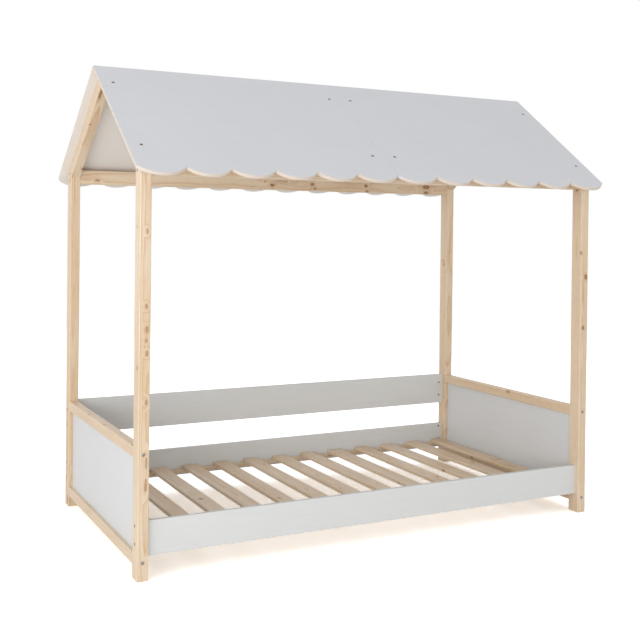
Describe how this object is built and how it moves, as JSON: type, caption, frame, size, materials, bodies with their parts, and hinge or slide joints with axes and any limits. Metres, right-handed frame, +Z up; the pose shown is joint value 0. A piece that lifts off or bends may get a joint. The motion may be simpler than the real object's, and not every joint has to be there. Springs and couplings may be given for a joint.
{
  "type": "house-shaped canopy bed",
  "caption": "House-shaped single bed: pine posts carry a rigid gabled roof with scalloped eaves over a low slatted base with end panels and a back guard board",
  "frame": {"origin": "on the floor under the middle of the bed, the centre of the bounding box's bottom", "axes": "+X along the bed's length, -Y the open front side, +Z up"},
  "size_m": [2.04, 1.245, 1.8289],
  "materials": {
    "pine": "clear lacquered knotty pine, satin",
    "painted_board": "light grey painted board, satin, pale routed edges",
    "end_panel_board": "light grey painted thin board, satin",
    "bolt_steel": "dark oxide bolt heads",
    "zinc_steel": "zinc plated nuts, inserts and screws",
    "beech_dowel": "plain beech dowel"
  },
  "bodies": {
    "root": {"post_front_left": "pine", "post_back_left": "pine", "post_front_right": "pine", "post_back_right": "pine", "end_rafter_front_left": "pine", "end_rafter_back_left": "pine", "end_rafter_front_right": "pine", "end_rafter_back_right": "pine", "middle_rafter_front_left": "pine", "middle_rafter_back_left": "pine", "middle_rafter_front_right": "pine", "middle_rafter_back_right": "pine", "end_rail_bottom_left": "pine", "end_rail_bottom_right": "pine", "end_rail_top_left": "pine", "end_rail_top_right": "pine", "eave_beam_front": "pine", "eave_beam_back": "pine", "slat_batten_front": "pine", "slat_batten_back": "pine", "slat_01": "pine", "slat_02": "pine", "slat_03": "pine", "slat_04": "pine", "slat_05": "pine", "slat_06": "pine", "slat_07": "pine", "slat_08": "pine", "slat_09": "pine", "slat_10": "pine", "slat_11": "pine", "slat_12": "pine", "slat_13": "pine", "roof_panel_front_left": "painted_board", "roof_panel_back_left": "painted_board", "roof_panel_front_right": "painted_board", "roof_panel_back_right": "painted_board", "side_board_front": "painted_board", "side_board_back": "painted_board", "guard_board_back": "painted_board", "end_panel_left": "end_panel_board", "end_panel_right": "end_panel_board", "side_board_bolts": "bolt_steel", "end_rail_bolts": "bolt_steel", "eave_beam_bolts": "bolt_steel", "roof_bolts": "bolt_steel", "side_board_barrel_nuts": "zinc_steel", "end_rail_barrel_nuts": "zinc_steel", "eave_beam_barrel_nuts": "zinc_steel", "roof_bolt_inserts": "zinc_steel", "slat_screws": "zinc_steel", "batten_screws": "zinc_steel", "middle_rafter_screws": "zinc_steel", "post_dowels": "beech_dowel", "ridge_dowels": "beech_dowel"}
  },
  "joints": []
}
